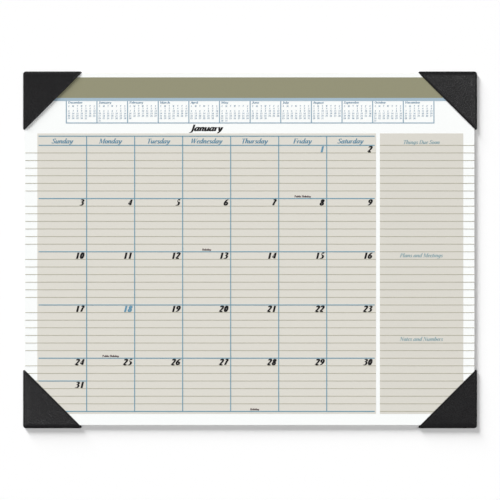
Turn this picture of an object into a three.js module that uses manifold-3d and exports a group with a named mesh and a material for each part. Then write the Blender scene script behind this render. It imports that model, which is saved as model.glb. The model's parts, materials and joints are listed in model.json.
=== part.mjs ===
// Desk pad calendar: a glued block of month sheets on a chipboard back, held at its four corners by
// leatherette pockets. Millimetres, +Z up. The head of the sheets is towards +Y and the origin is under the
// middle of the pad, at the height it lies on.

import * as THREE from "three";
import { mergeVertices } from "three/addons/utils/BufferGeometryUtils.js";
import Module from "manifold-3d";

const wasm = await Module();
wasm.setup();

// Sheets and board
const sheetWidth = 552.45;
const sheetHeight = 431.8;
const sheetCount = 12;
const sheetThickness = 0.1;
const boardThickness = 1.0;
const gumThickness = 0.4;

// Corner pockets: each side's slack is the room between the sheets' edge and the pocket's inner wall
const pocketLeg = 73.7;
const pocketWall = 0.9;
const pocketCornerRadius = 3.7;
const pocketTipRadius = 1.5;
const pocketEdgeRoll = 0.7;
const pocketHeadroom = 0.35;
const slackLeft = 0.7;
const slackRight = 2.3;
const slackHead = 1.4;
const slackFoot = 3.1;

// Print: each colour is a layer of its own, and places on the sheet are measured from its top left corner
const inkThickness = 0.05;
const bandTop = 5.0;
const bandHeight = 25.3;
const stripHeight = 3.8;
const yearFrameLeftMargin = 51.5;
const yearFrameRightMargin = 49.75;
const yearFrameHeight = 26.9;
const yearMonthCount = 12;
const yearLineWidth = 1.2;

const fieldLeftMargin = 15.9;
const fieldRightMargin = 13.75;
const fieldFootMargin = 13.8;
const fieldUnderYear = 12.75;
const fieldGutter = 4.7;
const notesFieldWidth = 102.4;

const gridSideInset = 1.6;
const gridHeadInset = 3.45;
const gridFootInset = 3.0;
const weekdayRowHeight = 11.2;
const weekCount = 5;
const dayCount = 7;
const gridLineWidth = 1.1;

const rulesPerCell = 7;
const ruleWidth = 0.8;
const ruleLeftMargin = 1.2;
const lastDaySplitRule = 3;

// Edges of print closer together than this are one edge
const smallestStep = 1e-4;

// Heights of the stack, from the surface that the pad lies on
const boardFoot = pocketWall;
const sheetsFoot = boardFoot + boardThickness;
const sheetsTop = sheetsFoot + sheetCount * sheetThickness;
const tintTop = sheetsTop + inkThickness;
const ruleTop = tintTop + inkThickness;
const gridTop = ruleTop + inkThickness;
const pocketRoof = gridTop + pocketHeadroom;
const pocketTop = pocketRoof + pocketWall;

// The pockets' outline is centred on the origin, and the sheets lie in it by their four slacks
const outlineWidth = sheetWidth + slackLeft + slackRight + 2 * pocketWall;
const outlineHeight = sheetHeight + slackHead + slackFoot + 2 * pocketWall;
const sheetLeft = -outlineWidth / 2 + pocketWall + slackLeft;
const sheetHead = outlineHeight / 2 - pocketWall - slackHead;

// The year's small months share the width between their margins
const stripTop = bandTop + bandHeight;
const stripFoot = stripTop + stripHeight;
const yearFrameFoot = stripFoot + yearFrameHeight;
const yearFrameRight = sheetWidth - yearFrameRightMargin;
const yearMonthPitch = (yearFrameRight - yearFrameLeftMargin) / yearMonthCount;

// The notes' field keeps its width, and the month's field takes what is left beside it
const fieldTop = yearFrameFoot + fieldUnderYear;
const fieldFoot = sheetHeight - fieldFootMargin;
const notesFieldRight = sheetWidth - fieldRightMargin;
const notesFieldLeft = notesFieldRight - notesFieldWidth;
const monthFieldRight = notesFieldLeft - fieldGutter;

// The grid fills the month's field inside its insets, and the writing rules divide its cells
const gridLeft = fieldLeftMargin + gridSideInset;
const gridRight = monthFieldRight - gridSideInset;
const gridHead = fieldTop + gridHeadInset;
const gridFoot = fieldFoot - gridFootInset;
const dayWidth = (gridRight - gridLeft) / dayCount;
const firstRule = gridHead + weekdayRowHeight;
const ruleCount = weekCount * rulesPerCell + 1;
const rulePitch = (gridFoot - firstRule) / (ruleCount - 1);

const colours = {
  leatherette: 0x24222a,
  chipboard: 0x9a8f7d,
  paper: 0xfafcfb,
  gum: 0xe9e4d6,
  olive: 0x949379,
  paleBlue: 0xa7bcca,
  tint: 0xdbd8cf,
  gridBlue: 0x6298b2,
};

function material(colour, roughness) {
  return new THREE.MeshStandardMaterial({ color: colour, roughness, metalness: 0 });
}

function named(name, geometry, surface) {
  const mesh = new THREE.Mesh(geometry, surface);
  mesh.name = name;
  return mesh;
}

// A box between two heights, by its place on the sheet: left, top, right and foot from the top left corner
function sheetBox(left, top, right, foot, low, high) {
  return new THREE.Box3(
    new THREE.Vector3(sheetLeft + left, sheetHead - foot, low),
    new THREE.Vector3(sheetLeft + right, sheetHead - top, high),
  );
}

function boxGeometry(box) {
  const size = box.getSize(new THREE.Vector3());
  return new THREE.BoxGeometry(size.x, size.y, size.z).translate(...box.getCenter(new THREE.Vector3()));
}

// A printed line along the sheet's width, centred on its place down the sheet
function lineAcross(left, right, middle, width, low, high) {
  return sheetBox(left, middle - width / 2, right, middle + width / 2, low, high);
}

// A printed line down the sheet, centred on its place across it
function lineDown(top, foot, middle, width, low, high) {
  return sheetBox(middle - width / 2, top, middle + width / 2, foot, low, high);
}

function toSolid(geometry) {
  const bare = geometry.clone();
  bare.deleteAttribute("normal");
  bare.deleteAttribute("uv");
  const merged = mergeVertices(bare, 1e-4);
  return new wasm.Manifold(
    new wasm.Mesh({
      numProp: 3,
      vertProperties: new Float32Array(merged.attributes.position.array),
      triVerts: new Uint32Array(merged.index.array),
    }),
  );
}

function toGeometry(solid) {
  const mesh = solid.getMesh();
  const geometry = new THREE.BufferGeometry();
  geometry.setAttribute("position", new THREE.BufferAttribute(mesh.vertProperties, 3));
  geometry.setIndex(new THREE.BufferAttribute(mesh.triVerts, 1));
  geometry.computeVertexNormals();
  return geometry;
}

// Boxes that cross or meet, as one solid. Their edges cut space into cells, and a cell in any box is filled.
// Each face is a whole side of a filled cell with nothing beyond it, so the surface always closes.
function joined(boxes) {
  const cuts = [0, 1, 2].map((axis) => {
    const places = boxes.flatMap((box) => [box.min.getComponent(axis), box.max.getComponent(axis)]);
    const rounded = places.map((place) => Math.round(place / smallestStep) * smallestStep);
    return [...new Set(rounded)].sort((a, b) => a - b);
  });
  const isFilled = (cell) => {
    if (cell.some((index, axis) => index < 0 || index > cuts[axis].length - 2)) return false;
    const middle = cell.map((index, axis) => (cuts[axis][index] + cuts[axis][index + 1]) / 2);
    return boxes.some((box) => box.containsPoint(new THREE.Vector3(...middle)));
  };
  const corners = [];
  const addSide = (cell, axis, side) => {
    const across = (axis + 1) % 3;
    const along = (axis + 2) % 3;
    const ring = [
      [0, 0],
      [1, 0],
      [1, 1],
      [0, 1],
    ].map(([a, b]) => {
      const index = [...cell];
      index[axis] += side;
      index[across] += a;
      index[along] += b;
      return index.map((cut, direction) => cuts[direction][cut]);
    });
    if (side === 0) ring.reverse();
    corners.push(ring[0], ring[1], ring[2], ring[0], ring[2], ring[3]);
  };
  for (let i = 0; i < cuts[0].length - 1; i++) {
    for (let j = 0; j < cuts[1].length - 1; j++) {
      for (let k = 0; k < cuts[2].length - 1; k++) {
        const cell = [i, j, k];
        if (!isFilled(cell)) continue;
        for (let axis = 0; axis < 3; axis++) {
          for (const side of [0, 1]) {
            const beyond = [...cell];
            beyond[axis] += side === 1 ? 1 : -1;
            if (!isFilled(beyond)) addSide(cell, axis, side);
          }
        }
      }
    }
  }
  const geometry = new THREE.BufferGeometry();
  geometry.setAttribute("position", new THREE.Float32BufferAttribute(corners.flat(), 3));
  geometry.computeVertexNormals();
  return geometry;
}

// The pocket's triangle, with its outer corner at the origin and its legs along +X and +Y. A tip is 45
// degrees, so its arc touches each side at radius / tan(22.5 degrees) from where the sides would meet.
function pocketOutline() {
  const tipSetback = pocketTipRadius / Math.tan(Math.PI / 8);
  const tipMiddle = pocketLeg - tipSetback;
  const halfTurn = Math.PI / 2;
  const outline = new THREE.Shape();
  outline.moveTo(pocketCornerRadius, 0);
  outline.lineTo(tipMiddle, 0);
  outline.absarc(tipMiddle, pocketTipRadius, pocketTipRadius, -halfTurn, Math.PI / 4, false);
  outline.absarc(pocketTipRadius, tipMiddle, pocketTipRadius, Math.PI / 4, Math.PI, false);
  outline.lineTo(0, pocketCornerRadius);
  outline.absarc(pocketCornerRadius, pocketCornerRadius, pocketCornerRadius, Math.PI, 3 * halfTurn, false);
  return outline;
}

// A flat envelope, folded and closed along its two legs and open along the diagonal, where the pad goes in
function pocketSolid() {
  const shell = new THREE.ExtrudeGeometry(pocketOutline(), {
    depth: pocketTop - 2 * pocketEdgeRoll,
    bevelThickness: pocketEdgeRoll,
    bevelSize: pocketEdgeRoll,
    bevelOffset: -pocketEdgeRoll,
    bevelSegments: 3,
    curveSegments: 6,
  }).translate(0, 0, pocketEdgeRoll);
  const room = pocketRoof - pocketWall;
  const inside = new THREE.BoxGeometry(pocketLeg, pocketLeg, room).translate(
    pocketWall + pocketLeg / 2,
    pocketWall + pocketLeg / 2,
    pocketWall + room / 2,
  );
  return toSolid(shell).subtract(toSolid(inside));
}

// The same pocket at each corner, turned so that its outer corner lies at that corner of the outline
function pocket(name, acrossSign, upSign, quarterTurns) {
  const mesh = named(name, toGeometry(pocketSolid()), material(colours.leatherette, 0.55));
  mesh.rotation.z = (quarterTurns * Math.PI) / 2;
  mesh.position.set((acrossSign * outlineWidth) / 2, (upSign * outlineHeight) / 2, 0);
  return mesh;
}

function backingBoard() {
  const board = sheetBox(0, 0, sheetWidth, sheetHeight, boardFoot, sheetsFoot);
  return named("backing_board", boxGeometry(board), material(colours.chipboard, 0.9));
}

function monthlySheets() {
  const block = sheetBox(0, 0, sheetWidth, sheetHeight, sheetsFoot, sheetsTop);
  return named("monthly_sheets", boxGeometry(block), material(colours.paper, 0.8));
}

// The gum is a thin skin on the head edge, and stops short of the pockets at both ends
function paddingGum() {
  const inset = pocketLeg;
  const gum = sheetBox(inset, -gumThickness, sheetWidth - inset, 0, boardFoot, sheetsTop);
  return named("padding_gum", boxGeometry(gum), material(colours.gum, 0.6));
}

function headerBand() {
  const band = sheetBox(0, bandTop, sheetWidth, stripTop, sheetsTop, tintTop);
  return named("print_header_band", boxGeometry(band), material(colours.olive, 0.8));
}

// The pale strip under the band, with the frame of the small months hanging from it
function yearFrame() {
  const overrun = yearLineWidth / 2;
  const frameLeft = yearFrameLeftMargin - overrun;
  const frameRight = yearFrameRight + overrun;
  const pieces = [
    sheetBox(0, stripTop, sheetWidth, stripFoot, sheetsTop, tintTop),
    lineAcross(frameLeft, frameRight, yearFrameFoot, yearLineWidth, sheetsTop, tintTop),
  ];
  for (let line = 0; line <= yearMonthCount; line++) {
    const middle = yearFrameLeftMargin + line * yearMonthPitch;
    pieces.push(lineDown(stripFoot, yearFrameFoot, middle, yearLineWidth, sheetsTop, tintTop));
  }
  return named("print_year_frame", joined(pieces), material(colours.paleBlue, 0.8));
}

// The place of a writing rule down the sheet, counted from the first line under the weekday row
function rulePlace(index) {
  return firstRule + index * rulePitch;
}

// The month's tinted field with its writing rules, which start in the left margin and leave out the grid's
// own lines
function monthField() {
  const pieces = [sheetBox(fieldLeftMargin, fieldTop, monthFieldRight, fieldFoot, sheetsTop, tintTop)];
  for (let index = 0; index < ruleCount; index++) {
    if (index % rulesPerCell === 0) continue;
    const middle = rulePlace(index);
    pieces.push(lineAcross(ruleLeftMargin, monthFieldRight, middle, ruleWidth, sheetsTop, ruleTop));
  }
  return named("print_month_field", joined(pieces), material(colours.tint, 0.8));
}

// The notes' tinted field with a rule at every place, running on to the sheet's right edge
function notesField() {
  const pieces = [sheetBox(notesFieldLeft, fieldTop, notesFieldRight, fieldFoot, sheetsTop, tintTop)];
  for (let index = 0; index < ruleCount; index++) {
    pieces.push(lineAcross(notesFieldLeft, sheetWidth, rulePlace(index), ruleWidth, sheetsTop, ruleTop));
  }
  return named("print_notes_field", joined(pieces), material(colours.tint, 0.8));
}

// The blue lines: one over the weekday row, one under it and under each week, one between days, and a short
// one that splits the first day of the last week
function monthGrid() {
  const pieces = [lineAcross(gridLeft, gridRight, gridHead, gridLineWidth, ruleTop, gridTop)];
  for (let week = 0; week <= weekCount; week++) {
    const middle = rulePlace(week * rulesPerCell);
    pieces.push(lineAcross(gridLeft, gridRight, middle, gridLineWidth, ruleTop, gridTop));
  }
  for (let day = 1; day < dayCount; day++) {
    const middle = gridLeft + day * dayWidth;
    pieces.push(lineDown(gridHead, gridFoot, middle, gridLineWidth, ruleTop, gridTop));
  }
  const split = rulePlace((weekCount - 1) * rulesPerCell + lastDaySplitRule);
  pieces.push(lineAcross(gridLeft, gridLeft + dayWidth, split, gridLineWidth, ruleTop, gridTop));
  return named("print_month_grid", joined(pieces), material(colours.gridBlue, 0.8));
}

const deskPad = new THREE.Group();
deskPad.add(
  backingBoard(),
  monthlySheets(),
  paddingGum(),
  headerBand(),
  yearFrame(),
  monthField(),
  notesField(),
  monthGrid(),
  pocket("corner_bottom_left", -1, -1, 0),
  pocket("corner_bottom_right", 1, -1, 1),
  pocket("corner_top_right", 1, 1, 2),
  pocket("corner_top_left", -1, 1, 3),
);

export default deskPad;
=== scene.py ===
"""Desk pad calendar: the looks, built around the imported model.

The chipboard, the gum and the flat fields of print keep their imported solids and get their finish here.
Twelve separate leaves stand for the block of sheets, four folded envelopes for the corner pockets, and the
lettering and numbers are thin slabs of ink, drawn with a nib of the pad's own italic hand.
"""

import calendar
import json
import math
from collections import namedtuple

import bpy
from mathutils import Matrix, Vector

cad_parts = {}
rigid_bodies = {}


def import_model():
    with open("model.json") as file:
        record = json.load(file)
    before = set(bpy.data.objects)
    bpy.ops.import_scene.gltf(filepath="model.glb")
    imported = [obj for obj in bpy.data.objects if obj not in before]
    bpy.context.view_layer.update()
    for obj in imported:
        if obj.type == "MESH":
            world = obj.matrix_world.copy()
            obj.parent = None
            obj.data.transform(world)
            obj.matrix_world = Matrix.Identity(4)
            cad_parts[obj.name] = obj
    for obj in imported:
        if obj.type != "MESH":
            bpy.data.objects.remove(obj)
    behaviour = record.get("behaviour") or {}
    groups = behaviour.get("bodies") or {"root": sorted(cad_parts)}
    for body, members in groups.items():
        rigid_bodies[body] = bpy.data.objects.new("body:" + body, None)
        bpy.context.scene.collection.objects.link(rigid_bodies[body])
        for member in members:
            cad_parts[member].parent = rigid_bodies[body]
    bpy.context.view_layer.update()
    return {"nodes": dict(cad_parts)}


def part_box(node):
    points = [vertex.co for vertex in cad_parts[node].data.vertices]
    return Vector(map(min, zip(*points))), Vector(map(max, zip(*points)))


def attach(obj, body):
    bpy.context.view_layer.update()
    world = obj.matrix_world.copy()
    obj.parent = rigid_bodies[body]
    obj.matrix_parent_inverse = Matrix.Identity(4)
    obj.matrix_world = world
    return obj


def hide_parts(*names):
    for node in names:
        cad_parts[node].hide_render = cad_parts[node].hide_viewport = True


MM = 0.001
YEAR = 2021
PAGE_MONTH = 1

for leftover in list(bpy.data.objects):
    bpy.data.objects.remove(leftover)

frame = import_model()

SHEETS_LOW, SHEETS_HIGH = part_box("monthly_sheets")
GRID_LOW, GRID_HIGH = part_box("print_month_grid")
MONTH_LOW, MONTH_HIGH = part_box("print_month_field")
POCKET_LOW, POCKET_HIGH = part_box("corner_bottom_left")

PAPER_TOP = SHEETS_HIGH.z
TINT_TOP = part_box("print_year_frame")[1].z
RULE_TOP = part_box("print_notes_field")[1].z


# Colours, as they look on the page


def linear(*code):
    """A colour given as eight-bit screen values, in the linear values that shaders take."""
    shares = [value / 255 for value in code]
    return [s / 12.92 if s <= 0.04045 else ((s + 0.055) / 1.055) ** 2.4 for s in shares]


def shade(colour, factor):
    return [channel * factor for channel in colour]


BLACK = (0, 0, 0)
WHITE = (1, 1, 1)
PAPER_WHITE = linear(251, 253, 252)
OLIVE = linear(147, 145, 119)
PALE_BLUE = linear(165, 187, 202)
FIELD_TINT = linear(222, 219, 210)
NOTES_TINT = linear(219, 216, 207)
RULE_TAUPE = linear(171, 168, 150)
GRID_BLUE = linear(106, 152, 173)
NAME_BLUE = linear(98, 140, 163)
YEAR_BLUE = linear(108, 141, 166)
FRAME_BLUE = linear(136, 164, 182)
HOLIDAY_BLUE = linear(104, 149, 174)
HEADING_BLUE = linear(142, 168, 174)
TEXT_BLACK = linear(20, 18, 20)
TEXT_BROWN = linear(70, 48, 52)
VINYL_DEEP = linear(5, 4, 6)
VINYL_WORN = linear(11, 10, 12)


# Node trees


class Graph:
    """A node tree under construction."""

    def __init__(self, tree):
        self.tree = tree

    def fill(self, node, inputs):
        """Sets a node's inputs, given by name or number, from sockets or to plain values."""
        for key, value in inputs.items():
            if isinstance(value, bpy.types.NodeSocket):
                self.tree.links.new(value, node.inputs[key])
            else:
                node.inputs[key].default_value = value

    def add(self, kind, inputs=None, **settings):
        node = self.tree.nodes.new(kind)
        for key, value in settings.items():
            setattr(node, key, value)
        self.fill(node, inputs or {})
        return node

    def math(self, operation, *terms):
        """The result of an operation on sockets and plain numbers."""
        return self.add("ShaderNodeMath", dict(enumerate(terms)), operation=operation).outputs["Value"]


# Materials. Noise is given in lumps per metre, and the depth of a bump in millimetres.

SOFT_RANGE = (0.3, 0.7)
PRINT_LUMPS = 900
FIELD_LUMPS = 700
PRINT_ROUGHNESS = 0.72
FIELD_ROUGHNESS = 0.75
PAPER_ROUGHNESS = 0.8
BLACK_INK_ROUGHNESS = 0.6
# The strip's lower edge, in millimetres from the head of the page
STRIP_FOOT = 34.1


class Finish(Graph):
    """A material under construction, with its textures in the piece's own space."""

    def __init__(self, name):
        self.material = bpy.data.materials.new(name)
        self.material.use_nodes = True
        super().__init__(self.material.node_tree)
        self.shader = self.tree.nodes["Principled BSDF"]

    def place(self):
        return self.add("ShaderNodeTexCoord").outputs["Object"]

    def noise(self, scale, detail, roughness=0.6, stretch=(1, 1, 1), output="Fac"):
        mapping = self.add("ShaderNodeMapping", {"Vector": self.place(), "Scale": stretch})
        place = mapping.outputs["Vector"]
        inputs = {"Scale": scale, "Detail": detail, "Roughness": roughness, "Vector": place}
        return self.add("ShaderNodeTexNoise", inputs).outputs[output]

    def ramp(self, source, low, high, low_colour, high_colour):
        """Blends between two colours as the source runs from low to high."""
        node = self.add("ShaderNodeValToRGB", {"Fac": source})
        first, second = node.color_ramp.elements
        first.position = low
        first.color = (*low_colour, 1)
        second.position = high
        second.color = (*high_colour, 1)
        return node.outputs["Color"]

    def mix(self, factor, colour, other):
        """Goes from a colour's socket to another colour as the factor grows."""
        inputs = {"Factor": factor, "A": colour, "B": (*other, 1)}
        return self.add("ShaderNodeMix", inputs, data_type="RGBA").outputs["Result"]

    def bump(self, height, strength, depth, below=None):
        """Shapes the surface's light. below is the bump that this one lies on."""
        node = self.add("ShaderNodeBump", {"Height": height, "Strength": strength, "Distance": depth * MM})
        if below is not None:
            self.fill(node, {"Normal": below})
        self.fill(self.shader, {"Normal": node.outputs["Normal"]})
        return node.outputs["Normal"]

    def surface(self, colour, roughness, shine=0.5):
        self.fill(self.shader, {"Base Color": colour, "Roughness": roughness, "Specular IOR Level": shine})
        return self.material


def printed_paper(name, colour, roughness=PRINT_ROUGHNESS, lumps=PRINT_LUMPS, second=None):
    """Ink on uncoated paper: the colour breathes a little, and the paper's tooth shows in the surface.

    second is a second ink: its colour, and the axis, test and level that tell its places from the rest.
    """
    finish = Finish(name)
    mottle = finish.noise(scale=lumps, detail=4)
    tone = finish.ramp(mottle, *SOFT_RANGE, shade(colour, 0.985), shade(colour, 1.01))
    if second:
        ink, axis, test, level = second
        split = finish.add("ShaderNodeSeparateXYZ", {"Vector": finish.place()})
        tone = finish.mix(finish.math(test, split.outputs[axis], level), tone, ink)
    finish.bump(finish.noise(scale=4200, detail=3), strength=0.12, depth=0.03)
    return finish.surface(tone, roughness, shine=0.12)


def ruled_tint(name, tint):
    """A tinted field, with its raised writing rules in their own taupe."""
    rules = (RULE_TAUPE, "Z", "GREATER_THAN", (TINT_TOP + RULE_TOP) / 2)
    return printed_paper(name, tint, FIELD_ROUGHNESS, FIELD_LUMPS, rules)


def strip_and_frame():
    """The pale strip, and the deeper lines that hang from it: told apart by their place down the page."""
    lines = (FRAME_BLUE, "Y", "LESS_THAN", SHEETS_HIGH.y - STRIP_FOOT * MM)
    return printed_paper("pale_blue_print", PALE_BLUE, FIELD_ROUGHNESS, PRINT_LUMPS, lines)


def leatherette():
    """Black grained vinyl: a pebble of small cells with fine creases between, and worn-smooth high spots."""
    finish = Finish("black_leatherette")
    warp = finish.noise(scale=420, detail=2, output="Color")
    inputs = {"Fac": 0.0012, "Color1": finish.place(), "Color2": warp}
    shifted = finish.add("ShaderNodeMixRGB", inputs, blend_type="ADD").outputs["Color"]
    inputs = {"Scale": 560, "Vector": shifted}
    pebble = finish.add("ShaderNodeTexVoronoi", inputs, feature="DISTANCE_TO_EDGE")
    crease = finish.ramp(pebble.outputs["Distance"], 0.0, 0.22, BLACK, WHITE)
    fine = finish.bump(finish.noise(scale=5200, detail=3), strength=0.2, depth=0.03)
    finish.bump(crease, strength=0.4, depth=0.12, below=fine)
    tone = finish.ramp(finish.noise(scale=60, detail=3), *SOFT_RANGE, VINYL_DEEP, VINYL_WORN)
    rim = finish.add("ShaderNodeAttribute", attribute_name="rim").outputs["Fac"]
    gloss = finish.add("ShaderNodeMapRange", {"Value": crease, "To Min": 0.36, "To Max": 0.2})
    roughness = finish.math("MULTIPLY_ADD", rim, 0.4, gloss.outputs["Result"])
    return finish.surface(finish.mix(rim, tone, VINYL_DEEP), roughness, shine=0.145)


def chipboard():
    """Grey-brown board of pulped paper, with long pale and dark fibres pressed flat in it."""
    finish = Finish("grey_chipboard")
    cloud = finish.noise(scale=45, detail=6, roughness=0.65)
    colour = finish.ramp(cloud, 0.3, 0.72, linear(141, 131, 115), linear(160, 151, 135))
    for stretch, scale, threshold, tint in (
        ((1, 9, 1), 330, 0.69, linear(196, 188, 172)),
        ((8, 1, 1), 360, 0.7, linear(96, 86, 74)),
        ((1, 1, 1), 900, 0.74, linear(84, 76, 68)),
    ):
        fibre = finish.noise(scale=scale, detail=2, roughness=0.5, stretch=stretch)
        mask = finish.ramp(fibre, threshold, threshold + 0.05, BLACK, shade(WHITE, 0.8))
        colour = finish.mix(mask, colour, tint)
    finish.bump(finish.noise(scale=1500, detail=5), strength=0.35, depth=0.08)
    return finish.surface(colour, roughness=0.92, shine=0.2)


def padding_gum():
    """Dried white padding glue: satin, a little lumpy from the brush."""
    finish = Finish("padding_gum")
    cloud = finish.noise(scale=160, detail=3)
    colour = finish.ramp(cloud, *SOFT_RANGE, linear(228, 222, 206), linear(240, 236, 224))
    brushed = finish.noise(scale=700, detail=3, roughness=0.5, stretch=(1, 1, 5))
    finish.bump(brushed, strength=0.4, depth=0.12)
    return finish.surface(colour, roughness=0.42)


# Meshes


def placed(name, data):
    """A new object in the scene."""
    made = bpy.data.objects.new(name, data)
    bpy.context.scene.collection.objects.link(made)
    return made


def mesh_piece(name, points, faces, material):
    """A new piece from points in metres, closed faces and one material."""
    mesh = bpy.data.meshes.new(name)
    mesh.from_pydata([tuple(point) for point in points], [], faces)
    mesh.validate()
    mesh.materials.append(material)
    return placed(name, mesh)


def baked(carrier, name):
    """The carrier's evaluated geometry as a plain piece. The carrier and its modifier go."""
    bpy.context.view_layer.update()
    graph = bpy.context.evaluated_depsgraph_get()
    mesh = bpy.data.meshes.new_from_object(carrier.evaluated_get(graph))
    mesh.name = name
    bpy.data.objects.remove(carrier)
    return placed(name, mesh)


class GeometryGraph(Graph):
    """A Geometry Nodes tree under construction, with named inputs."""

    def __init__(self, name):
        super().__init__(bpy.data.node_groups.new(name, "GeometryNodeTree"))
        self.identifiers = {}
        for way in ("INPUT", "OUTPUT"):
            self.tree.interface.new_socket("Geometry", in_out=way, socket_type="NodeSocketGeometry")
        self.inside = self.add("NodeGroupInput")
        self.outside = self.add("NodeGroupOutput")

    def input(self, name, kind):
        socket = self.tree.interface.new_socket(name, in_out="INPUT", socket_type=kind)
        self.identifiers[name] = socket.identifier
        return self.inside.outputs[name]

    def hand_out(self, instances, material):
        """Makes the instances real, gives them their material and sends them to the output."""
        solid = self.add("GeometryNodeRealizeInstances", {"Geometry": instances})
        inputs = {"Geometry": solid.outputs["Geometry"], "Material": material}
        painted = self.add("GeometryNodeSetMaterial", inputs)
        self.fill(self.outside, {"Geometry": painted.outputs["Geometry"]})

    def run(self, carrier, values):
        """Adds the tree to a carrier as a modifier, with its inputs set by identifier."""
        modifier = carrier.modifiers.new(self.tree.name, "NODES")
        modifier.node_group = self.tree
        for name, value in values.items():
            modifier[self.identifiers[name]] = value


# The nib and its letters. A glyph is its advance and its strokes, in cap heights from the baseline, upright.


def stem(*points):
    """A stroke of the full nib."""
    return "stem", points


def hair(*points):
    """A narrow stroke, for joining others."""
    return "hair", points


def slab(left, right, height):
    """A flat, narrow stroke, as a serif has."""
    return "slab", ((left, height), (right, height))


def foot(left, right):
    """A serif on the baseline."""
    return slab(left, right, 0.015)


def head(left, right):
    """A serif at the top of a capital."""
    return slab(left, right, 0.98)


def bar(left, right, height):
    """A flat stroke that is broader than a serif."""
    return "bar", ((left, height), (right, height))


def loop(x, y, half_width, half_height):
    """A closed round of the full nib, through eight points about a middle."""
    turns = [2 * math.pi * step / 8 for step in range(8)]
    return "loop", [(x + half_width * math.cos(t), y + half_height * math.sin(t)) for t in turns]


def moved(stroke, right):
    """The same stroke, further along the line."""
    kind, points = stroke
    return kind, [(x + right, y) for x, y in points]


def half_turned(stroke, middle_x, middle_y):
    """The same stroke turned half round, as a 9 is a 6."""
    kind, points = stroke
    return kind, [(2 * middle_x - x, 2 * middle_y - y) for x, y in points]


SIX = stem(
    (0.52, 0.96), (0.28, 0.80), (0.12, 0.50), (0.11, 0.22), (0.28, 0.02), (0.47, 0.18), (0.46, 0.42),
    (0.33, 0.55), (0.16, 0.44),
)
BOWL_A = stem(
    (0.44, 0.56), (0.30, 0.63), (0.12, 0.46), (0.08, 0.18), (0.18, 0.02), (0.34, 0.14), (0.44, 0.36),
)
EXIT_A = stem((0.47, 0.63), (0.43, 0.30), (0.43, 0.08), (0.51, 0.02))
TAIL_A = hair((0.51, 0.02), (0.58, 0.07), (0.63, 0.16))
ARCH = stem(
    (0.11, 0.34), (0.22, 0.54), (0.36, 0.63), (0.45, 0.52), (0.41, 0.24), (0.42, 0.07), (0.50, 0.02),
)
ARCH_TAIL = hair((0.50, 0.02), (0.57, 0.07), (0.62, 0.16))
ENTRY = hair((-0.02, 0.48), (0.04, 0.58), (0.11, 0.63))
FOOT = foot(0.02, 0.28)
CAP_HEAD = head(0.02, 0.28)
CAP_STEM = stem((0.15, 0.97), (0.15, 0.03))

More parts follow.
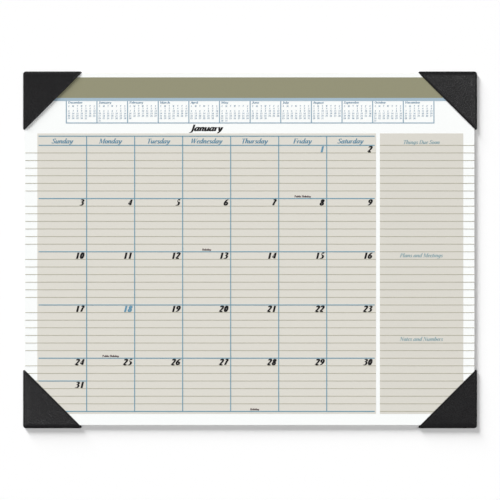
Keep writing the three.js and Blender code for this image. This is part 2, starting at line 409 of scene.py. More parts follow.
GLYPHS = {
    "0": (0.63, [loop(0.30, 0.49, 0.18, 0.47)]),
    "1": (0.63, [
        stem((0.32, 0.97), (0.32, 0.03)), hair((0.14, 0.80), (0.24, 0.88), (0.31, 0.98)), foot(0.16, 0.48),
    ]),
    "2": (0.63, [
        stem(
            (0.11, 0.76), (0.17, 0.93), (0.32, 0.97), (0.46, 0.84), (0.42, 0.60), (0.26, 0.34),
            (0.07, 0.07),
        ),
        bar(0.08, 0.52, 0.05),
    ]),
    "3": (0.63, [
        stem((0.13, 0.84), (0.26, 0.96), (0.42, 0.86), (0.40, 0.66), (0.22, 0.54)),
        stem((0.22, 0.54), (0.42, 0.46), (0.45, 0.22), (0.28, 0.02), (0.07, 0.08)),
    ]),
    "4": (0.63, [
        hair((0.42, 0.97), (0.05, 0.30)), bar(0.05, 0.56, 0.28), stem((0.42, 0.95), (0.42, 0.03)),
    ]),
    "5": (0.63, [
        bar(0.20, 0.52, 0.92), hair((0.19, 0.93), (0.15, 0.60)),
        stem((0.15, 0.59), (0.33, 0.57), (0.45, 0.38), (0.40, 0.13), (0.22, 0.02), (0.06, 0.07)),
    ]),
    "6": (0.63, [SIX]),
    "7": (0.63, [bar(0.10, 0.54, 0.92), stem((0.50, 0.88), (0.34, 0.52), (0.24, 0.03))]),
    "8": (0.63, [loop(0.31, 0.74, 0.14, 0.21), loop(0.29, 0.26, 0.18, 0.245)]),
    "9": (0.63, [half_turned(SIX, 0.30, 0.49)]),
    "A": (0.66, [
        hair((0.38, 0.98), (0.03, 0.03)), stem((0.40, 0.96), (0.54, 0.03)),
        hair((0.15, 0.33), (0.47, 0.33)), foot(-0.06, 0.14), foot(0.42, 0.68),
    ]),
    "C": (0.66, [
        stem(
            (0.60, 0.78), (0.44, 0.97), (0.20, 0.86), (0.09, 0.50), (0.17, 0.14), (0.38, 0.02),
            (0.58, 0.17),
        ),
        hair((0.62, 0.97), (0.60, 0.74)),
    ]),
    "D": (0.76, [
        CAP_STEM, hair((0.02, 0.98), (0.34, 0.98)), hair((0.02, 0.02), (0.34, 0.02)),
        stem((0.34, 0.97), (0.56, 0.84), (0.63, 0.50), (0.54, 0.16), (0.34, 0.03)),
    ]),
    "F": (0.60, [
        CAP_STEM, FOOT, slab(0.02, 0.58, 0.975), slab(0.15, 0.42, 0.52), hair((0.58, 0.98), (0.57, 0.80)),
        hair((0.42, 0.62), (0.42, 0.42)),
    ]),
    "H": (0.78, [
        CAP_STEM, CAP_HEAD, FOOT, moved(CAP_STEM, 0.42), moved(CAP_HEAD, 0.42), moved(FOOT, 0.42),
        slab(0.15, 0.57, 0.51),
    ]),
    "J": (0.48, [
        stem((0.30, 0.97), (0.29, 0.20), (0.20, -0.14), (0.02, -0.24)), head(0.16, 0.44),
        hair((0.02, -0.24), (-0.08, -0.20)),
    ]),
    "M": (0.94, [
        hair((0.13, 0.97), (0.13, 0.03)), stem((0.17, 0.97), (0.42, 0.08)),
        hair((0.42, 0.04), (0.78, 0.97)), stem((0.78, 0.97), (0.78, 0.03)), foot(0.02, 0.24),
        foot(0.66, 0.92), head(0.02, 0.20), head(0.76, 0.92),
    ]),
    "N": (0.80, [
        hair((0.13, 0.97), (0.13, 0.03)), stem((0.17, 0.97), (0.61, 0.05)),
        hair((0.64, 0.97), (0.64, 0.03)), foot(0.02, 0.24), head(0.02, 0.20), head(0.53, 0.75),
    ]),
    "O": (0.76, [loop(0.37, 0.50, 0.27, 0.47)]),
    "P": (0.62, [
        CAP_STEM, FOOT, hair((0.02, 0.98), (0.32, 0.98)),
        stem((0.32, 0.97), (0.49, 0.88), (0.49, 0.62), (0.32, 0.50)), hair((0.32, 0.50), (0.15, 0.48)),
    ]),
    "S": (0.56, [
        stem(
            (0.46, 0.80), (0.34, 0.97), (0.15, 0.88), (0.14, 0.68), (0.34, 0.46), (0.43, 0.26),
            (0.32, 0.04), (0.14, 0.03), (0.04, 0.18),
        ),
        hair((0.49, 0.98), (0.46, 0.76)), hair((0.02, 0.02), (0.04, 0.24)),
    ]),
    "T": (0.64, [
        stem((0.32, 0.96), (0.32, 0.03)), slab(0.04, 0.62, 0.975), hair((0.04, 0.98), (0.03, 0.80)),
        hair((0.62, 0.98), (0.61, 0.80)), foot(0.19, 0.45),
    ]),
    "W": (0.98, [
        stem((0.12, 0.96), (0.22, 0.04)), hair((0.24, 0.04), (0.52, 0.96)),
        stem((0.50, 0.96), (0.60, 0.04)), hair((0.62, 0.04), (0.92, 0.96)), head(0.00, 0.24),
        head(0.40, 0.60), head(0.82, 1.00),
    ]),
    "a": (0.60, [BOWL_A, EXIT_A, TAIL_A]),
    "b": (0.54, [
        stem(
            (0.12, 1.04), (0.11, 0.40), (0.12, 0.12), (0.24, 0.02), (0.40, 0.14), (0.46, 0.38),
            (0.38, 0.60), (0.26, 0.58), (0.13, 0.36),
        ),
    ]),
    "c": (0.46, [
        stem((0.41, 0.52), (0.30, 0.63), (0.13, 0.48), (0.09, 0.20), (0.22, 0.02)),
        hair((0.22, 0.02), (0.34, 0.04), (0.44, 0.16)),
    ]),
    "d": (0.60, [
        BOWL_A, stem((0.49, 1.04), (0.44, 0.30), (0.43, 0.08), (0.51, 0.02)), TAIL_A,
        hair((0.36, 0.98), (0.48, 1.04)),
    ]),
    "e": (0.46, [
        hair((0.10, 0.30), (0.28, 0.36), (0.40, 0.50)),
        stem((0.40, 0.50), (0.32, 0.63), (0.15, 0.50), (0.09, 0.22), (0.21, 0.02)),
        hair((0.21, 0.02), (0.33, 0.04), (0.44, 0.16)),
    ]),
    "g": (0.58, [BOWL_A, stem((0.47, 0.63), (0.43, 0.10), (0.34, -0.22), (0.14, -0.31), (0.00, -0.22))]),
    "h": (0.60, [stem((0.13, 1.04), (0.11, 0.02)), hair((0.00, 0.98), (0.12, 1.04)), ARCH, ARCH_TAIL]),
    "i": (0.30, [
        ENTRY, stem((0.12, 0.62), (0.11, 0.10), (0.18, 0.02)), hair((0.18, 0.02), (0.30, 0.16)),
        stem((0.13, 0.87), (0.13, 0.90)),
    ]),
    "l": (0.30, [
        stem((0.14, 1.04), (0.11, 0.10), (0.18, 0.02)), hair((0.18, 0.02), (0.30, 0.16)),
        hair((0.02, 0.98), (0.13, 1.04)),
    ]),
    "m": (0.92, [
        ENTRY, stem((0.12, 0.62), (0.11, 0.02)),
        stem((0.11, 0.34), (0.22, 0.54), (0.35, 0.63), (0.43, 0.52), (0.42, 0.02)), moved(ARCH, 0.32),
        moved(ARCH_TAIL, 0.32),
    ]),
    "n": (0.60, [ENTRY, stem((0.12, 0.62), (0.11, 0.02)), ARCH, ARCH_TAIL]),
    "o": (0.52, [loop(0.26, 0.325, 0.165, 0.30)]),
    "p": (0.56, [
        ENTRY, stem((0.12, 0.62), (0.09, -0.30)), slab(-0.04, 0.22, -0.31),
        stem(
            (0.12, 0.40), (0.26, 0.60), (0.40, 0.58), (0.45, 0.34), (0.34, 0.06), (0.20, 0.02),
            (0.12, 0.10),
        ),
    ]),
    "r": (0.42, [
        ENTRY, stem((0.12, 0.62), (0.11, 0.02)), hair((0.12, 0.34), (0.22, 0.54), (0.32, 0.62)),
        stem((0.34, 0.60), (0.38, 0.55)),
    ]),
    "s": (0.42, [
        stem(
            (0.34, 0.53), (0.24, 0.63), (0.13, 0.54), (0.17, 0.38), (0.30, 0.24), (0.31, 0.08),
            (0.18, 0.02), (0.06, 0.10),
        ),
    ]),
    "t": (0.34, [
        stem((0.17, 0.82), (0.12, 0.20), (0.13, 0.07), (0.20, 0.02)), hair((0.20, 0.02), (0.32, 0.15)),
        slab(0.00, 0.32, 0.62),
    ]),
    "u": (0.60, [
        ENTRY, stem((0.12, 0.62), (0.10, 0.20), (0.15, 0.03), (0.28, 0.08), (0.44, 0.34)), EXIT_A, TAIL_A,
    ]),
    "v": (0.50, [
        ENTRY, stem((0.12, 0.62), (0.16, 0.30), (0.19, 0.05)),
        hair((0.20, 0.04), (0.36, 0.26), (0.44, 0.58)), stem((0.41, 0.58), (0.43, 0.60)),
    ]),
    "y": (0.54, [
        ENTRY, stem((0.12, 0.62), (0.17, 0.32), (0.24, 0.04)),
        stem((0.46, 0.63), (0.40, 0.24), (0.26, -0.10), (0.10, -0.28)), hair((0.10, -0.28), (0.00, -0.24)),
    ]),
    " ": (0.28, []),
}


def curve_point(a, b, c, d, t):
    """A point between b and c on the smooth curve through four points."""
    slope = c - a
    bend = 2 * a - 5 * b + 4 * c - d
    twist = 3 * b - a - 3 * c + d
    return 0.5 * (2 * b + slope * t + bend * t**2 + twist * t**3)


def strokes_smoothed(points, closed, steps):
    """Points along a smooth curve through the given ones. Two points stay a straight line."""
    if len(points) == 2:
        return [Vector(point) for point in points]
    count = len(points)
    spans = count if closed else count - 1
    curve = []
    for span in range(spans):
        around = [span - 1, span, span + 1, span + 2]
        if closed:
            a, b, c, d = (Vector(points[index % count]) for index in around)
        else:
            a, b, c, d = (Vector(points[min(max(index, 0), count - 1)]) for index in around)
        curve += [curve_point(a, b, c, d, step / steps) for step in range(steps)]
    if not closed:
        curve.append(Vector(points[-1]))
    return curve


class Nib:
    """A pen's nib: the half widths, in cap heights, of the ellipse that each kind of stroke is drawn with.

    The nib is least_share of its breadth thick at the least, and bar_share of it where it draws a bar.
    """

    def __init__(self, stem, hair, slant, steps=4, least_share=0.3, bar_share=0.62):
        full = (stem, max(hair, stem * least_share))
        narrow = (hair, hair)
        broad = (hair, max(hair, stem * bar_share))
        self.halves = {"stem": full, "loop": full, "hair": narrow, "slab": narrow, "bar": broad}
        self.slant = slant
        self.steps = steps

    def edges(self, kind, points):
        """The two edges of a stroke, and whether it is closed on itself."""
        across, up = self.halves[kind]
        closed = kind == "loop"
        middle = strokes_smoothed(points, closed, self.steps)
        count = len(middle)
        left, right = [], []
        for index, point in enumerate(middle):
            before = middle[index - 1] if closed or index > 0 else point
            after = middle[(index + 1) % count] if closed or index < count - 1 else point
            along = (after - before).normalized()
            normal = Vector((-along.y, along.x))
            reach = math.hypot(across * normal.x, up * normal.y)
            side = Vector((across**2 * normal.x, up**2 * normal.y)) / reach
            left.append(point + side)
            right.append(point - side)
        return left, right, closed


BOLD = Nib(stem=0.122, hair=0.028, slant=0.24)
NUMERAL = Nib(stem=0.158, hair=0.04, slant=0.24)
REGULAR = Nib(stem=0.092, hair=0.03, slant=0.24)
HEAVY = Nib(stem=0.11, hair=0.08, slant=0.06, steps=3)
LIGHT = Nib(stem=0.092, hair=0.066, slant=0.08, steps=2)

# How words are set: the nib, the height of capitals in metres, how much letters are widened, and what is
# added to each one's advance, in cap heights
Hand = namedtuple("Hand", "nib cap spread gap", defaults=(1.0, 0.0))

# Each stroke ends one step higher than the one before and rises by a step along its length, so that no two
# tops lie in one plane where strokes cross. The step is a share of the ink's thickness, and after the last
# level the strokes start again from the lowest.
STROKE_STEP = 0.07
STROKE_LEVELS = 7


class Lettering:
    """Words of one ink, as closed slabs that lie on the page."""

    def __init__(self, floor, thickness):
        self.floor = floor
        self.thickness = thickness
        self.points = []
        self.faces = []
        self.strokes = 0

    def stroke(self, hand, kind, points, start_x, baseline):
        """One stroke as a slab. Its points are in cap heights from the letter's start on the baseline."""
        left, right, closed = hand.nib.edges(kind, points)
        count = len(left)
        start = len(self.points)
        level = 1 + self.strokes % STROKE_LEVELS
        self.strokes += 1
        for is_top in (False, True):
            for edge in (left, right):
                for index, point in enumerate(edge):
                    x = start_x + (point.x + hand.nib.slant * point.y) * hand.spread * hand.cap
                    y = baseline + point.y * hand.cap
                    height = self.floor
                    if is_top:
                        height += self.thickness * (1 + STROKE_STEP * (level + index / count))
                    self.points.append((x, y, height))
        low_left, low_right, top_left, top_right = (start + row * count for row in range(4))
        for index in range(count if closed else count - 1):
            after = (index + 1) % count
            self.faces.append((top_left + index, top_right + index, top_right + after, top_left + after))
            self.faces.append((low_right + index, low_left + index, low_left + after, low_right + after))
            self.faces.append((low_left + index, top_left + index, top_left + after, low_left + after))
            self.faces.append((top_right + index, low_right + index, low_right + after, top_right + after))
        if not closed:
            last = count - 1
            self.faces.append((low_left, low_right, top_right, top_left))
            self.faces.append((low_right + last, low_left + last, top_left + last, top_right + last))

    def word(self, text, hand, x, y, anchor=0.0):
        """A word on a baseline at y. anchor is the share of its slanted width left of x."""
        nib, cap, spread, gap = hand
        width = sum(GLYPHS[letter][0] + gap for letter in text) * spread * cap
        left = x - anchor * (width + nib.slant * cap)
        for letter in text:
            advance, strokes = GLYPHS[letter]
            for kind, points in strokes:
                self.stroke(hand, kind, points, left, y)
            left += (advance + gap) * spread * cap

    def piece(self, name, material, slot):
        made = mesh_piece(name, self.points, self.faces, material)
        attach(made, "root")


# Places on the page, in millimetres from the sheets' top left corner, as the driving dimensions of the print

YEAR_LEFT = 51.5
YEAR_RIGHT = 502.7
MONTHS = 12
DAYS = 7
WEEKS = 5
RULES_PER_WEEK = 7
SPLIT_RULE = 3
GRID_LINE = 1.1
WEEKDAY_ROW = 11.2

PAGE_LEFT = SHEETS_LOW.x
PAGE_TOP = SHEETS_HIGH.y
GRID_LEFT = GRID_LOW.x
GRID_RIGHT = GRID_HIGH.x
DAY_WIDTH = (GRID_RIGHT - GRID_LEFT) / DAYS
GRID_HEAD = GRID_HIGH.y - GRID_LINE / 2 * MM
GRID_FOOT = GRID_LOW.y + GRID_LINE / 2 * MM
FIRST_RULE = GRID_HEAD - WEEKDAY_ROW * MM
RULE_PITCH = (FIRST_RULE - GRID_FOOT) / (WEEKS * RULES_PER_WEEK)
SUNDAY_FIRST = calendar.Calendar(firstweekday=6)

INK = RULE_TOP - TINT_TOP
THIN_INK = TINT_TOP - PAPER_TOP

TITLE_HAND = Hand(BOLD, 8.0 * MM, 1.27)
TITLE_BASELINE = 71.1
# The field's box takes in the rules of the left margin, so its middle lies left of the tint's own
TITLE_SHIFT = 7.35

WEEKDAY_HAND = Hand(REGULAR, 5.9 * MM, 1.24)
WEEKDAY_RISE = 2.3

NUMBER_HEIGHT = 7.6
NUMBER_HAND = Hand(NUMERAL, NUMBER_HEIGHT * MM, 1.03, 0.075)
NUMBER_DROP = 0.9
NUMBER_INSET = 1.4
HOLIDAYS = (1, 18)

DAY_NOTE_HAND = Hand(HEAVY, 2.3 * MM, 1.3)
DAY_NOTE_RISE = 1.5
# Each note: week, weekday from Sunday, and words
DAY_NOTES = ((0, 5, "Public Holiday"), (1, 3, "Holiday"), (3, 1, "Public Holiday"), (4, 4, "Holiday"))

HEADING_HAND = Hand(REGULAR, 4.7 * MM, 1.24)
NOTES_MIDDLE = 487.5
# Each heading: words, the rule under it, and its baseline's rise above that
NOTES_HEADINGS = (
    ("Things Due Soon", 0, 1.6),
    ("Plans and Meetings", 15, 2.6),
    ("Notes and Numbers", 26, 2.6),
)

SMALL_CAP = 1.95
SMALL_NAME_HAND = Hand(LIGHT, 2.5 * MM, 1.6)
SMALL_INITIAL_HAND = Hand(LIGHT, SMALL_CAP * MM, 1.1)
# The small digits are drawn a metre tall and scaled where they are set
SMALL_DIGIT_HAND = Hand(LIGHT, 1.0, 1.18)
SMALL_NAME_BASELINE = 37.1
SMALL_NAME_INSET = 2.2
SMALL_INITIAL_BASELINE = 41.2
SMALL_FIRST_ROW = 44.2
SMALL_ROW_PITCH = 3.0
SMALL_FIRST_COLUMN = 3.15
SMALL_COLUMN_PITCH = 5.2


def page(x, y):
    """A place in the frame, from millimetres right of the page's left edge and down from its head."""
    return PAGE_LEFT + x * MM, PAGE_TOP - y * MM


def rule_y(index):
    """A writing rule's place, counted from the line under the weekday row."""
    return FIRST_RULE - index * RULE_PITCH


def day_middle(column):
    return GRID_LEFT + (column + 0.5) * DAY_WIDTH


def weekday(column):
    """A weekday's name, counted from Sunday."""
    return calendar.day_name[(column + 6) % DAYS]


def month_title():
    title = Lettering(PAPER_TOP, INK)
    middle = (MONTH_LOW.x + MONTH_HIGH.x) / 2 + TITLE_SHIFT * MM
    title.word(calendar.month_name[PAGE_MONTH], TITLE_HAND, middle, page(0, TITLE_BASELINE)[1], anchor=0.5)
    title.piece("print_month_name", text_black, "black_print")


def weekday_names():
    names = Lettering(TINT_TOP, INK)
    for day in range(DAYS):
        names.word(weekday(day), WEEKDAY_HAND, day_middle(day), FIRST_RULE + WEEKDAY_RISE * MM, anchor=0.5)
    names.piece("print_weekday_names", name_blue, "grid_blue_print")


def date_numbers():
    """The month's numbers, in the top right corner of each day. Holidays are in blue.

    The days past the last full week stand halfway down its cells.
    """
    black = Lettering(TINT_TOP, INK)
    blue = Lettering(TINT_TOP, INK)
    weeks = SUNDAY_FIRST.monthdayscalendar(YEAR, PAGE_MONTH)
    for row, week in enumerate(weeks):
        for column, day in enumerate(week):
            if day == 0:
                continue
            line = min(row, WEEKS - 1) * RULES_PER_WEEK
            if row >= WEEKS:
                line += SPLIT_RULE
            right = GRID_LEFT + (column + 1) * DAY_WIDTH - NUMBER_INSET * MM
            baseline = rule_y(line) - (NUMBER_DROP + NUMBER_HEIGHT) * MM
            ink = blue if day in HOLIDAYS else black
            ink.word(str(day), NUMBER_HAND, right, baseline, anchor=1.0)
    black.piece("print_date_numbers", text_black, "black_print")
    blue.piece("print_holiday_numbers", holiday_blue, "grid_blue_print")


def day_notes():
    """Small plain words at the foot of each marked day."""
    words = Lettering(TINT_TOP, INK)
    for row, column, text in DAY_NOTES:
        baseline = rule_y((row + 1) * RULES_PER_WEEK) + DAY_NOTE_RISE * MM
        words.word(text, DAY_NOTE_HAND, day_middle(column), baseline, anchor=0.5)
    words.piece("print_day_notes", text_brown, "black_print")


def notes_headings():
    """Plain headings, each centred over a writing rule of the notes' field."""
    words = Lettering(TINT_TOP, INK)
    middle = page(NOTES_MIDDLE, 0)[0]
    for text, rule, rise in NOTES_HEADINGS:
        words.word(text, HEADING_HAND, middle, rule_y(rule) + rise * MM, anchor=0.5)
    words.piece("print_notes_headings", heading_blue, "pale_blue_print")


# The year's small months


def small_months():
    """The twelve months in the frame, from the one before the page's: left edge, year and month."""
    pitch = (YEAR_RIGHT - YEAR_LEFT) / MONTHS
    for slot in range(MONTHS):
        turned = YEAR * 12 + PAGE_MONTH - 2 + slot
        yield YEAR_LEFT + slot * pitch, turned // 12, turned % 12 + 1


def small_month_words():
    words = Lettering(PAPER_TOP, THIN_INK)
    for left, _, month in small_months():
        x, y = page(left + SMALL_NAME_INSET, SMALL_NAME_BASELINE)
        words.word(calendar.month_name[month], SMALL_NAME_HAND, x, y)
        for column in range(DAYS):
            x, y = page(left + SMALL_FIRST_COLUMN + column * SMALL_COLUMN_PITCH, SMALL_INITIAL_BASELINE)
            words.word(weekday(column)[0], SMALL_INITIAL_HAND, x, y, anchor=0.5)
    words.piece("print_small_month_names", year_blue, "pale_blue_print")


def digit_tree(material):
    """Geometry Nodes: puts one of ten digits on each point, picked by the point's own digit."""
    tree = GeometryGraph("small_digits")
    digits = tree.input("Digits", "NodeSocketCollection")
    inputs = {"Collection": digits, "Separate Children": True, "Reset Children": True}
    shapes = tree.add("GeometryNodeCollectionInfo", inputs)
    which = tree.add("GeometryNodeInputNamedAttribute", {"Name": "digit"}, data_type="INT")
    inputs = {
        "Points": tree.inside.outputs["Geometry"],
        "Instance": shapes.outputs["Instances"],
        "Pick Instance": True,
        "Instance Index": which.outputs["Attribute"],
        "Scale": tree.input("Height", "NodeSocketFloat"),
    }
    place = tree.add("GeometryNodeInstanceOnPoints", inputs)
    tree.hand_out(place.outputs["Instances"], material)
    return tree


def digit_shapes():
    """A collection of the ten digits, outside the scene."""
    store = bpy.data.collections.new("small_digit_shapes")
    for digit in "0123456789":
        shape = Lettering(0.0, THIN_INK / (SMALL_CAP * MM))
        shape.word(digit, SMALL_DIGIT_HAND, 0.0, 0.0)
        made = mesh_piece("shape_" + digit, shape.points, shape.faces, year_blue)
        bpy.context.scene.collection.objects.unlink(made)
        store.objects.link(made)
    return store


def small_month_numbers():
    """Every number of the small months: one point for each digit, and the digits set on them."""
    store = digit_shapes()
    places, digits = [], []
    advance = GLYPHS["0"][0] * SMALL_DIGIT_HAND.spread * SMALL_CAP
    for left, year, month in small_months():
        for row, week in enumerate(SUNDAY_FIRST.monthdayscalendar(year, month)):
            for column, day in enumerate(week):
                text = str(day) if day else ""
                middle = left + SMALL_FIRST_COLUMN + column * SMALL_COLUMN_PITCH
                for index, digit in enumerate(text):
                    offset = (index - len(text) / 2) * advance
                    x, y = page(middle + offset, SMALL_FIRST_ROW + row * SMALL_ROW_PITCH)
                    places.append((x, y, PAPER_TOP))
                    digits.append(int(digit))
    mesh = bpy.data.meshes.new("small_digit_places")
    mesh.from_pydata(places, [], [])
    mesh.attributes.new("digit", "INT", "POINT").data.foreach_set("value", digits)
    carrier = placed("small_digit_places", mesh)
    digit_tree(year_blue).run(carrier, {"Digits": store, "Height": SMALL_CAP * MM})
    piece = baked(carrier, "print_small_month_numbers")
    for shape in list(store.objects):
        bpy.data.objects.remove(shape)
    bpy.data.collections.remove(store)
    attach(piece, "root")


# The block of leaves: their number, the share of each one's room that its paper fills, how far a leaf may
# stray in millimetres, and the seed of that

LEAVES = 12
LEAF_SHARE = 0.86
LEAF_STRAY = 0.22
LEAF_SEED = 7


def leaf_tree(material):
    """Geometry Nodes: a stack of thin leaves, all but the top one a little out of line."""
    tree = GeometryGraph("leaf_stack")
    count = tree.input("Leaves", "NodeSocketInt")
    vectors = ("Leaf Size", "Leaf Pitch", "Stray Low", "Stray High")
    size, pitch, stray_low, stray_high = (tree.input(name, "NodeSocketVector") for name in vectors)
    seed = tree.input("Seed", "NodeSocketInt")
    row = tree.add("GeometryNodeMeshLine", {"Count": count, "Offset": pitch}, mode="OFFSET")
    leaf = tree.add("GeometryNodeMeshCube", {"Size": size})
    inputs = {"Points": row.outputs["Mesh"], "Instance": leaf.outputs["Mesh"]}
    place = tree.add("GeometryNodeInstanceOnPoints", inputs)
    inputs = {"Min": stray_low, "Max": stray_high, "Seed": seed}
    shift = tree.add("FunctionNodeRandomValue", inputs, data_type="FLOAT_VECTOR")
    index = tree.add("GeometryNodeInputIndex")
    inputs = {"A": index.outputs["Index"], "B": tree.math("SUBTRACT", count, 1)}
    below_top = tree.add("FunctionNodeCompare", inputs, data_type="INT", operation="LESS_THAN")
    inputs = {
        "Instances": place.outputs["Instances"],
        "Selection": below_top.outputs["Result"],
        "Translation": shift.outputs["Value"],
    }
    move = tree.add("GeometryNodeTranslateInstances", inputs)
    tree.hand_out(move.outputs["Instances"], material)
    return tree


def leaf_stack():
    """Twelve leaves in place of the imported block. The top one lies exactly where the print needs it."""
    pitch = (SHEETS_HIGH.z - SHEETS_LOW.z) / LEAVES
    thickness = pitch * LEAF_SHARE
    width = SHEETS_HIGH.x - SHEETS_LOW.x
    height = SHEETS_HIGH.y - SHEETS_LOW.y
    stray = LEAF_STRAY * MM
    carrier = placed("leaf_carrier", bpy.data.meshes.new("leaf_carrier"))
    values = {
        "Leaves": LEAVES,
        "Leaf Size": (width, height, thickness),
        "Leaf Pitch": (0.0, 0.0, pitch),
        "Stray Low": (-stray, 0.0, 0.0),
        "Stray High": (stray, stray / 2, 0.0),
        "Seed": LEAF_SEED,
    }
    leaf_tree(sheet_paper).run(carrier, values)
    piece = baked(carrier, "month_leaves")
    middle = (SHEETS_LOW + SHEETS_HIGH) / 2
    first = SHEETS_HIGH.z - (LEAVES - 1) * pitch - thickness / 2
    piece.data.transform(Matrix.Translation((middle.x, middle.y, first)))
    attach(piece, "root")
    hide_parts("monthly_sheets")


# The corner pockets, in millimetres, each drawn with its outer corner at the origin and its legs along +X
# and +Y. A ring of the outline drawn in towards the triangle's incentre runs even with all three sides.

POCKET_LEG = 73.7
POCKET_HEIGHT = (POCKET_HIGH.z - POCKET_LOW.z) / MM
POCKET_WALL = 0.9
POCKET_ROOF = POCKET_HEIGHT - POCKET_WALL
# The room's side from its floor up, as distance from the leg and height
ROOM_SIDE = ((POCKET_WALL, POCKET_WALL), (POCKET_WALL, 2.45), (1.3, 3.13), (3.6, POCKET_ROOF))
ROOM_PAST_TIPS = 10
POCKET_CORNER_RADIUS = 3.7
POCKET_TIP_RADIUS = 1.5
# Each fold: the width of its roll and the power of its curve, a higher one for a squarer edge
FOLD_OVER = (6.0, 1.55)
FOLD_UNDER = (1.6, 2.4)
FOLD_WAIST = 0.15
MOUTH_ROUNDING = 0.8
RIM_WIDTH = 1.7
RIM_FADE = 0.5
WELD_FROM_MOUTH = 1.9
WELD_HALF_WIDTH = 0.55
WELD_DEPTH = 0.22
PANEL_WAVE = 0.07
SHARP_ANGLE = 38
RING_INSETS = (0, 0.08, 0.25, 0.5, 0.8, 1.35, 1.62, 1.9, 2.18, 2.45, 2.9, 3.5, 5, 7.5, 10.5, 14, 18, 20.8)
SIDE_STEPS = 30
ARC_STEPS = 7


def arc(x, y, radius, start, end):
    turns = [math.radians(start + (end - start) * step / ARC_STEPS) for step in range(ARC_STEPS + 1)]
    return [(x + radius * math.cos(t), y + radius * math.sin(t)) for t in turns]


def pocket_outline():
    """The rounded triangle, anticlockwise, with extra points along its straight sides."""
    tip = POCKET_LEG - POCKET_TIP_RADIUS / math.tan(math.pi / 8)
    corners = [
        arc(POCKET_CORNER_RADIUS, POCKET_CORNER_RADIUS, POCKET_CORNER_RADIUS, 180, 270),
        arc(tip, POCKET_TIP_RADIUS, POCKET_TIP_RADIUS, -90, 45),
        arc(POCKET_TIP_RADIUS, tip, POCKET_TIP_RADIUS, 45, 180),
    ]
    outline = []
    for index, corner in enumerate(corners):
        outline += corner
        start = corner[-1]
        end = corners[(index + 1) % len(corners)][0]
        for step in range(1, SIDE_STEPS):
            share = step / SIDE_STEPS
            outline.append((start[0] + (end[0] - start[0]) * share, start[1] + (end[1] - start[1]) * share))
    return outline


def panel_wave(x, y):
    """A slow, uneven wave over a panel, from about 0 to 2."""
    wave = math.sin(x * 0.13 + 0.6) * math.sin(y * 0.11 + 1.1) + 0.5 * math.sin((x - y) * 0.21)
    return 1 + wave / 1.5


def fold_height(x, y, fold):
    """A panel's height over the other one's face: rolled in at both legs, and square at its mouth."""
    middle = POCKET_HEIGHT / 2
    from_leg = max(min(x, y), 0)
    from_mouth = max((POCKET_LEG - x - y) / math.sqrt(2), 0)
    width, power = fold
    share = max(1 - from_leg / width, 0)
    roll = (1 - share**power) ** (1 / power)
    height = middle + FOLD_WAIST + (middle - FOLD_WAIST) * roll
    lip = max(MOUTH_ROUNDING - from_mouth, 0)
    height -= MOUTH_ROUNDING - math.sqrt(max(MOUTH_ROUNDING**2 - lip**2, 0))
    off_weld = abs(from_mouth - WELD_FROM_MOUTH) / WELD_HALF_WIDTH
    if off_weld < 1:
        height -= WELD_DEPTH * (0.5 + 0.5 * math.cos(math.pi * off_weld)) * roll
    return height - PANEL_WAVE * roll * panel_wave(x, y)


def pocket_skin():
    """The pocket's outer form as one closed mesh: rings of the outline, over and under."""
    outline = pocket_outline()
    count = len(outline)
    inradius = POCKET_LEG * (1 - 1 / math.sqrt(2))
    points, rings = [], []
    for is_top in (True, False):
        fold = FOLD_OVER if is_top else FOLD_UNDER
        for inset in RING_INSETS:
            keep = 1 - inset / inradius
            rings.append(len(points))
            for x, y in outline:
                x = inradius + (x - inradius) * keep
                y = inradius + (y - inradius) * keep
                height = fold_height(x, y, fold)
                points.append((x, y, height if is_top else POCKET_HEIGHT - height))
    faces = []
    half = len(RING_INSETS)
    for is_top, group in ((True, rings[:half]), (False, rings[half:])):
        for outer, inner in zip(group, group[1:]):
            for index in range(count):
                after = (index + 1) % count
                face = (outer + index, outer + after, inner + after, inner + index)
                faces.append(face if is_top else face[::-1])
        middle = fold_height(inradius, inradius, FOLD_OVER)
        points.append((inradius, inradius, middle if is_top else POCKET_HEIGHT - middle))
        centre = len(points) - 1
        for index in range(count):
            face = (group[-1] + index, group[-1] + (index + 1) % count, centre)
            faces.append(face if is_top else face[::-1])
    for index in range(count):
        after = (index + 1) % count
        faces.append((rings[half] + index, rings[half] + after, rings[0] + after, rings[0] + index))
    return points, faces


def pocket_room():
    """The space between the panels, from inside the folds out past the mouth, with cut-off upper edges."""
    far = POCKET_LEG + ROOM_PAST_TIPS
    corners = []
    for low, z in ROOM_SIDE:
        corners += [(low, low, z), (far, low, z), (far, far, z), (low, far, z)]
    top = len(corners) - 4
    faces = [(3, 2, 1, 0), (top, top + 1, top + 2, top + 3)]
    for start in range(0, top, 4):
        for side in range(4):
            after = (side + 1) % 4
            faces.append((start + side, start + after, start + after + 4, start + side + 4))
    return corners, faces


def hollow_pocket(finish):
    """The pocket with its room cut out, and how far each point belongs to the dull rim along the mouth."""
    skin = mesh_piece("pocket_skin", *pocket_skin(), finish)
    room = mesh_piece("pocket_room", *pocket_room(), finish)
    cut = skin.modifiers.new("room", "BOOLEAN")
    cut.operation = "DIFFERENCE"
    cut.solver = "EXACT"
    cut.object = room
    hollow = baked(skin, "pocket_hollow")
    bpy.data.objects.remove(room)
    hollow.data.polygons.foreach_set("use_smooth", [True] * len(hollow.data.polygons))
    hollow.data.set_sharp_from_angle(angle=math.radians(SHARP_ANGLE))
    from_mouth = [(POCKET_LEG - vertex.co.x - vertex.co.y) / math.sqrt(2) for vertex in hollow.data.vertices]
    rim = [min(max((RIM_WIDTH - distance) / RIM_FADE, 0), 1) for distance in from_mouth]
    hollow.data.attributes.new("rim", "FLOAT", "POINT").data.foreach_set("value", rim)
    return hollow


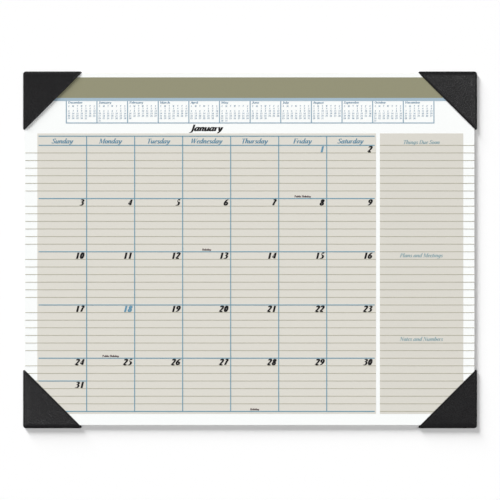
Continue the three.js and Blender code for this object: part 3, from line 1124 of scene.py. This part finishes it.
def corner_pockets(finish):
    """The hollow pocket, cut once and set at each corner of the pad, whose middle is the frame's origin."""
    hollow = hollow_pocket(finish)
    left, near = POCKET_LOW.x, POCKET_LOW.y
    for name, x, y, quarter_turns in (
        ("corner_bottom_left", left, near, 0),
        ("corner_bottom_right", -left, near, 1),
        ("corner_top_right", -left, -near, 2),
        ("corner_top_left", left, -near, 3),
    ):
        mesh = hollow.data.copy()
        turn = Matrix.Rotation(quarter_turns * math.pi / 2, 4, "Z")
        mesh.transform(Matrix.Translation((x, y, 0)) @ turn @ Matrix.Scale(MM, 4))
        piece = placed(name.replace("corner", "pocket"), mesh)
        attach(piece, "root")
        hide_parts(name)
    bpy.data.objects.remove(hollow)


def repaint(node, material):
    """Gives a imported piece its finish. Its mesh stays as packed."""
    piece = frame["nodes"][node]
    piece.data.materials.clear()
    piece.data.materials.append(material)


# Studio

FLOOR_REACH = 6.0
WORLD_LEVEL = 0.01
# Each light: name, elevation, heading, width of its disc and level. The overhead pair shows in the faces of
# two pockets, and the side pair in the rolled folds.
LIGHTS = (
    ("key", 15, 123, 21, 0.54),
    ("overhead_right", 72, 38, 10, 0.14),
    ("overhead_left", 72, 218, 10, 0.13),
    ("side_right", 52, 12, 12, 0.1),
    ("side_left", 52, 192, 12, 0.08),
)
# What the photograph takes in across the page, and the place of its middle, in millimetres
PHOTO_WIDTH = 613.7
CAMERA_SHIFT = (-0.06, -0.18)
LENS = 100
SENSOR = 36


def white_floor():
    material = Finish("white_floor").surface((*WHITE, 1), roughness=1, shine=0)
    corners = [(x * FLOOR_REACH, y * FLOOR_REACH, 0) for x, y in ((-1, -1), (1, -1), (1, 1), (-1, 1))]
    floor = mesh_piece("floor", corners, [(0, 1, 2, 3)], material)


def white_world(level):
    """Lights the scene at the level, and shows white to the camera, in reflections and through glass."""
    world = bpy.data.worlds.new("studio")
    world.use_nodes = True
    world.node_tree.nodes.clear()
    graph = Graph(world.node_tree)
    rays = graph.add("ShaderNodeLightPath").outputs
    seen = graph.math("MAXIMUM", rays["Is Camera Ray"], rays["Is Glossy Ray"])
    shows_white = graph.math("MAXIMUM", seen, rays["Is Transmission Ray"])
    lit = graph.add("ShaderNodeBackground", {"Color": (*WHITE, 1), "Strength": level})
    shown = graph.add("ShaderNodeBackground", {"Color": (*WHITE, 1), "Strength": 1.0})
    inputs = {"Fac": shows_white, 1: lit.outputs["Background"], 2: shown.outputs["Background"]}
    mix = graph.add("ShaderNodeMixShader", inputs)
    graph.add("ShaderNodeOutputWorld", {"Surface": mix.outputs["Shader"]})
    bpy.context.scene.world = world


def far_light(name, elevation, heading, disc, level):
    """A soft light from far off. disc is how wide it looks, level how much it brings to a white page."""
    towards = Vector((math.cos(math.radians(heading)), math.sin(math.radians(heading)), 0))
    towards *= math.cos(math.radians(elevation))
    towards.z = math.sin(math.radians(elevation))
    lamp = bpy.data.lights.new(name, "SUN")
    lamp.energy = level * math.pi / towards.z
    lamp.angle = math.radians(disc)
    placed(name, lamp).rotation_euler = towards.to_track_quat("Z", "Y").to_euler()


def straight_down_camera():
    """Looks straight down, from where the page fills the picture as in the photograph."""
    lens = bpy.data.cameras.new("camera")
    lens.lens = LENS
    lens.sensor_width = SENSOR
    height = PHOTO_WIDTH * MM * lens.lens / lens.sensor_width + PAPER_TOP
    camera = placed("camera", lens)
    camera.location = (CAMERA_SHIFT[0] * MM, CAMERA_SHIFT[1] * MM, height)
    bpy.context.scene.camera = camera


sheet_paper = printed_paper("white_paper", PAPER_WHITE, PAPER_ROUGHNESS)
text_black = printed_paper("black_print", TEXT_BLACK, BLACK_INK_ROUGHNESS)
text_brown = printed_paper("small_black_print", TEXT_BROWN)
name_blue = printed_paper("steel_blue_print", NAME_BLUE)
year_blue = printed_paper("grey_blue_print", YEAR_BLUE)
holiday_blue = printed_paper("holiday_blue_print", HOLIDAY_BLUE)
heading_blue = printed_paper("pale_heading_print", HEADING_BLUE)

repaint("backing_board", chipboard())
repaint("padding_gum", padding_gum())
repaint("print_header_band", printed_paper("olive_print", OLIVE))
repaint("print_year_frame", strip_and_frame())
repaint("print_month_field", ruled_tint("month_tint", FIELD_TINT))
repaint("print_notes_field", ruled_tint("notes_tint", NOTES_TINT))
repaint("print_month_grid", printed_paper("grid_blue_print", GRID_BLUE))

leaf_stack()
corner_pockets(leatherette())
month_title()
weekday_names()
date_numbers()
day_notes()
notes_headings()
small_month_words()
small_month_numbers()

white_floor()
white_world(WORLD_LEVEL)
for light in LIGHTS:
    far_light(*light)
straight_down_camera()
bpy.context.scene.view_settings.view_transform = "Standard"
